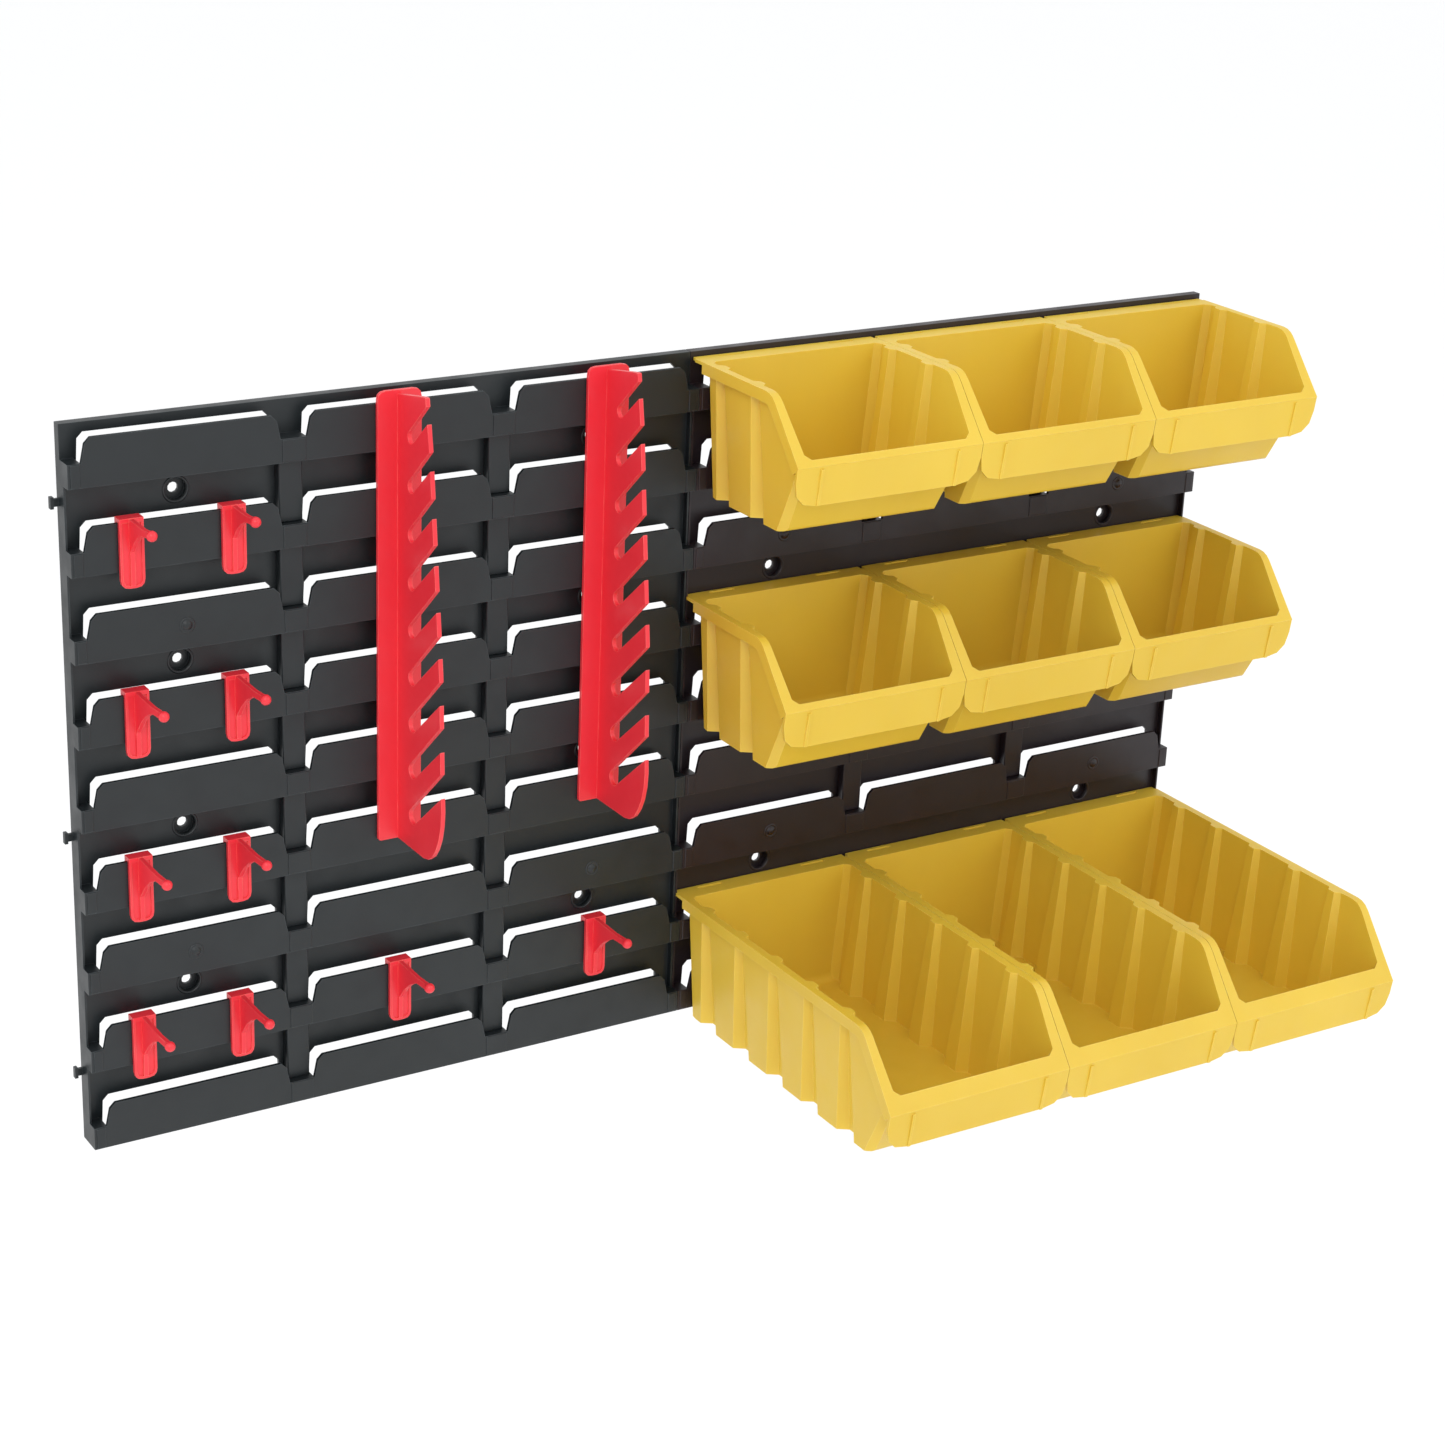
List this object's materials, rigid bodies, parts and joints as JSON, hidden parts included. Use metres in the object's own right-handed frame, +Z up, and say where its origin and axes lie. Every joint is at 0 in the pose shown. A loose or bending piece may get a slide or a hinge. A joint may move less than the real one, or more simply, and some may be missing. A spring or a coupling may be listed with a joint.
{
  "type": "louvred tool wall panel with bins and hooks",
  "caption": "Two clipped louvred wall panels with lift-off small and large open bins, slotted wrench racks and short and long tool hooks hung over the louvre tabs.",
  "frame": {"origin": "on the wall plane, at the middle of the seam between the two panels", "axes": "+X to the right along the wall, +Y into the wall, +Z up"},
  "size_m": [0.704, 0.2289, 0.3935],
  "materials": {
    "panel_black": "satin",
    "bin_yellow": "satin",
    "hook_red": "satin"
  },
  "bodies": {
    "panels": {"left_panel": "panel_black", "right_panel": "panel_black"},
    "small_bin_top_left": {"small_bin_top_left": "bin_yellow"},
    "small_bin_top_centre": {"small_bin_top_centre": "bin_yellow"},
    "small_bin_top_right": {"small_bin_top_right": "bin_yellow"},
    "small_bin_middle_left": {"small_bin_middle_left": "bin_yellow"},
    "small_bin_middle_centre": {"small_bin_middle_centre": "bin_yellow"},
    "small_bin_middle_right": {"small_bin_middle_right": "bin_yellow"},
    "large_bin_bottom_left": {"large_bin_bottom_left": "bin_yellow"},
    "large_bin_bottom_centre": {"large_bin_bottom_centre": "bin_yellow"},
    "large_bin_bottom_right": {"large_bin_bottom_right": "bin_yellow"},
    "wrench_rack_left": {"wrench_rack_left": "hook_red"},
    "wrench_rack_right": {"wrench_rack_right": "hook_red"},
    "short_hook_1": {"short_hook_1": "hook_red"},
    "short_hook_2": {"short_hook_2": "hook_red"},
    "long_hook_3": {"long_hook_3": "hook_red"},
    "long_hook_4": {"long_hook_4": "hook_red"},
    "long_hook_5": {"long_hook_5": "hook_red"},
    "long_hook_6": {"long_hook_6": "hook_red"},
    "long_hook_7": {"long_hook_7": "hook_red"},
    "long_hook_8": {"long_hook_8": "hook_red"},
    "long_hook_9": {"long_hook_9": "hook_red"},
    "long_hook_10": {"long_hook_10": "hook_red"}
  },
  "joints": [
    {"name": "small_bin_top_left_lift", "type": "slide", "parent": "panels", "child": "small_bin_top_left", "axis": [0, 0, 1], "range_m": [0, 0.0145]},
    {"name": "small_bin_top_centre_lift", "type": "slide", "parent": "panels", "child": "small_bin_top_centre", "axis": [0, 0, 1], "range_m": [0, 0.0145]},
    {"name": "small_bin_top_right_lift", "type": "slide", "parent": "panels", "child": "small_bin_top_right", "axis": [0, 0, 1], "range_m": [0, 0.0145]},
    {"name": "small_bin_middle_left_lift", "type": "slide", "parent": "panels", "child": "small_bin_middle_left", "axis": [0, 0, 1], "range_m": [0, 0.0145]},
    {"name": "small_bin_middle_centre_lift", "type": "slide", "parent": "panels", "child": "small_bin_middle_centre", "axis": [0, 0, 1], "range_m": [0, 0.0145]},
    {"name": "small_bin_middle_right_lift", "type": "slide", "parent": "panels", "child": "small_bin_middle_right", "axis": [0, 0, 1], "range_m": [0, 0.0145]},
    {"name": "large_bin_bottom_left_lift", "type": "slide", "parent": "panels", "child": "large_bin_bottom_left", "axis": [0, 0, 1], "range_m": [0, 0.0145]},
    {"name": "large_bin_bottom_centre_lift", "type": "slide", "parent": "panels", "child": "large_bin_bottom_centre", "axis": [0, 0, 1], "range_m": [0, 0.0145]},
    {"name": "large_bin_bottom_right_lift", "type": "slide", "parent": "panels", "child": "large_bin_bottom_right", "axis": [0, 0, 1], "range_m": [0, 0.0145]},
    {"name": "wrench_rack_left_lift", "type": "slide", "parent": "panels", "child": "wrench_rack_left", "axis": [0, 0, 1], "range_m": [0, 0.0145]},
    {"name": "wrench_rack_right_lift", "type": "slide", "parent": "panels", "child": "wrench_rack_right", "axis": [0, 0, 1], "range_m": [0, 0.0145]},
    {"name": "short_hook_1_lift", "type": "slide", "parent": "panels", "child": "short_hook_1", "axis": [0, 0, 1], "range_m": [0, 0.0145]},
    {"name": "short_hook_2_lift", "type": "slide", "parent": "panels", "child": "short_hook_2", "axis": [0, 0, 1], "range_m": [0, 0.0145]},
    {"name": "long_hook_3_lift", "type": "slide", "parent": "panels", "child": "long_hook_3", "axis": [0, 0, 1], "range_m": [0, 0.0145]},
    {"name": "long_hook_4_lift", "type": "slide", "parent": "panels", "child": "long_hook_4", "axis": [0, 0, 1], "range_m": [0, 0.0145]},
    {"name": "long_hook_5_lift", "type": "slide", "parent": "panels", "child": "long_hook_5", "axis": [0, 0, 1], "range_m": [0, 0.0145]},
    {"name": "long_hook_6_lift", "type": "slide", "parent": "panels", "child": "long_hook_6", "axis": [0, 0, 1], "range_m": [0, 0.0145]},
    {"name": "long_hook_7_lift", "type": "slide", "parent": "panels", "child": "long_hook_7", "axis": [0, 0, 1], "range_m": [0, 0.0145]},
    {"name": "long_hook_8_lift", "type": "slide", "parent": "panels", "child": "long_hook_8", "axis": [0, 0, 1], "range_m": [0, 0.0145]},
    {"name": "long_hook_9_lift", "type": "slide", "parent": "panels", "child": "long_hook_9", "axis": [0, 0, 1], "range_m": [0, 0.0145]},
    {"name": "long_hook_10_lift", "type": "slide", "parent": "panels", "child": "long_hook_10", "axis": [0, 0, 1], "range_m": [0, 0.0145]}
  ]
}
